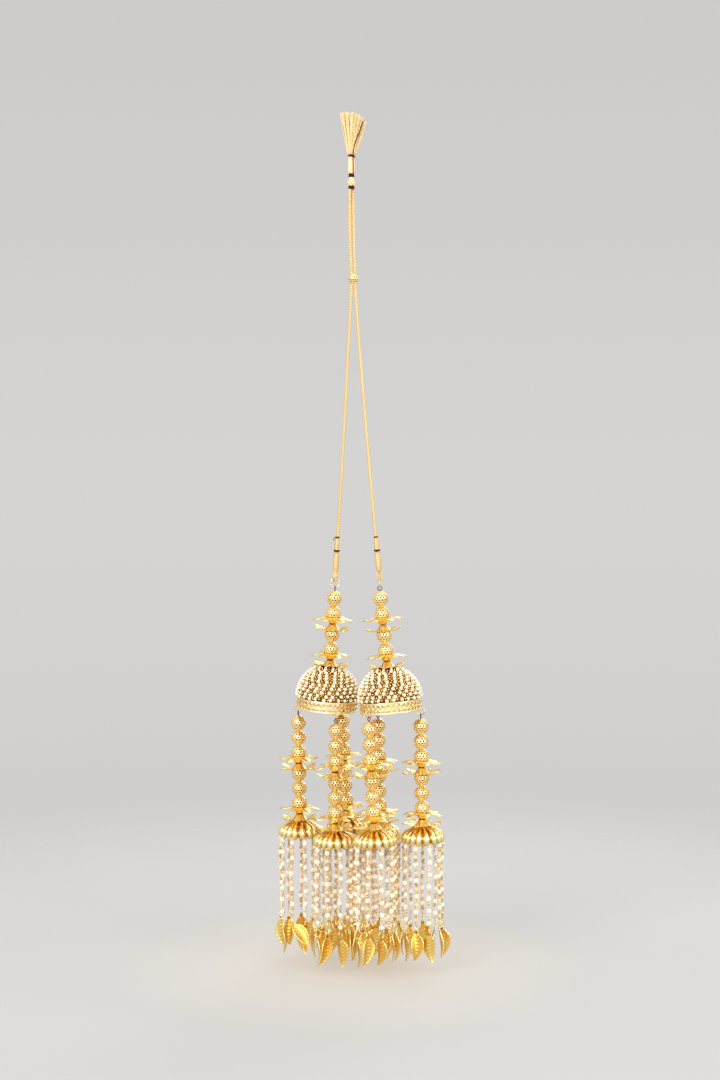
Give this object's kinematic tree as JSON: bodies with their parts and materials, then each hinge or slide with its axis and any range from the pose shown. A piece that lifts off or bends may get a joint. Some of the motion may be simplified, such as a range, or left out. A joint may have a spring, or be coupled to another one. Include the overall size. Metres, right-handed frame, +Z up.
{
  "type": "kalire bridal ornament",
  "caption": "Pair of gold bridal pendants on one draw-cord, with filigree balls, flowers, pearl-set domes and drops that end in bells, pearl strings and leaves.",
  "frame": {"origin": "hang point at the top of the doubled cord, just under the tassel's lowest binding", "axes": "+X to the right seen from the front, +Y away from the front, +Z up along the hanging cord"},
  "size_m": [0.1152, 0.0825, 0.565],
  "materials": {
    "ball_gold": "bright gold-plated filigree",
    "flower_gold": "satin gold-plated stamped sheet",
    "dome_gold": "gold-plated granulation and pierced band",
    "bell_gold": "bright gold-plated fluted sheet",
    "leaf_gold": "gold-plated stamped leaf with veins",
    "ring_gold": "plated wire",
    "pin_bronze": "darkened wire",
    "pearl": "cream imitation pearl",
    "gold_thread": "twisted metallic thread",
    "maroon_thread": "wound thread"
  },
  "bodies": {
    "root": {"tassel": "gold_thread", "tassel_bindings": "maroon_thread", "cord_knot": "gold_thread", "slider_bead": "ball_gold", "cord_left": "gold_thread", "cord_right": "gold_thread", "cord_end_left": "gold_thread", "cord_end_right": "gold_thread", "cord_bindings": "maroon_thread", "top_ring_left": "ring_gold", "top_ring_right": "ring_gold"},
    "pendant_left": {"pin_left": "pin_bronze", "balls_left": "ball_gold", "flowers_left": "flower_gold", "dome_left": "dome_gold", "drop_rings_left": "ring_gold"},
    "pendant_right": {"pin_right": "pin_bronze", "balls_right": "ball_gold", "flowers_right": "flower_gold", "dome_right": "dome_gold", "drop_rings_right": "ring_gold"},
    "drop_left_outer": {"pin_left_outer": "pin_bronze", "balls_left_outer": "ball_gold", "flowers_left_outer": "flower_gold", "bell_left_outer": "bell_gold", "strings_left_outer": "pearl", "leaves_left_outer": "leaf_gold"},
    "drop_left_front": {"pin_left_front": "pin_bronze", "balls_left_front": "ball_gold", "flowers_left_front": "flower_gold", "bell_left_front": "bell_gold", "strings_left_front": "pearl", "leaves_left_front": "leaf_gold"},
    "drop_left_back": {"pin_left_back": "pin_bronze", "balls_left_back": "ball_gold", "flowers_left_back": "flower_gold", "bell_left_back": "bell_gold", "strings_left_back": "pearl", "leaves_left_back": "leaf_gold"},
    "drop_right_front": {"pin_right_front": "pin_bronze", "balls_right_front": "ball_gold", "flowers_right_front": "flower_gold", "bell_right_front": "bell_gold", "strings_right_front": "pearl", "leaves_right_front": "leaf_gold"},
    "drop_right_back": {"pin_right_back": "pin_bronze", "balls_right_back": "ball_gold", "flowers_right_back": "flower_gold", "bell_right_back": "bell_gold", "strings_right_back": "pearl", "leaves_right_back": "leaf_gold"},
    "drop_right_outer": {"pin_right_outer": "pin_bronze", "balls_right_outer": "ball_gold", "flowers_right_outer": "flower_gold", "bell_right_outer": "bell_gold", "strings_right_outer": "pearl", "leaves_right_outer": "leaf_gold"}
  },
  "joints": [
    {"name": "swing_left", "type": "hinge", "parent": "root", "child": "pendant_left", "pos_m": [-0.01109, 0.0077, -0.26442], "axis": [0, 1, 0], "range_deg": [0, 30]},
    {"name": "swing_right", "type": "hinge", "parent": "root", "child": "pendant_right", "pos_m": [0.01869, -0.0077, -0.26354], "axis": [0, -1, 0], "range_deg": [0, 30]},
    {"name": "swing_left_outer", "type": "hinge", "parent": "pendant_left", "child": "drop_left_outer", "pos_m": [-0.03614, 0.01407, -0.34941], "axis": [0, 1, 0], "range_deg": [0, 25]},
    {"name": "swing_left_front", "type": "hinge", "parent": "pendant_left", "child": "drop_left_front", "pos_m": [-0.01026, -0.00773, -0.35206], "axis": [-0.866, 0.5, 0], "range_deg": [0, 25]},
    {"name": "swing_left_back", "type": "hinge", "parent": "pendant_left", "child": "drop_left_back", "pos_m": [-0.00681, 0.02816, -0.35004], "axis": [0.9397, 0.342, 0], "range_deg": [0, 25]},
    {"name": "swing_right_front", "type": "hinge", "parent": "pendant_right", "child": "drop_right_front", "pos_m": [0.01147, -0.02413, -0.34848], "axis": [-0.9962, -0.0872, 0], "range_deg": [0, 25]},
    {"name": "swing_right_back", "type": "hinge", "parent": "pendant_right", "child": "drop_right_back", "pos_m": [0.01769, 0.00685, -0.35014], "axis": [0.7071, -0.7071, 0], "range_deg": [0, 25]},
    {"name": "swing_right_outer", "type": "hinge", "parent": "pendant_right", "child": "drop_right_outer", "pos_m": [0.04584, -0.01407, -0.34785], "axis": [0, -1, 0], "range_deg": [0, 25]}
  ]
}
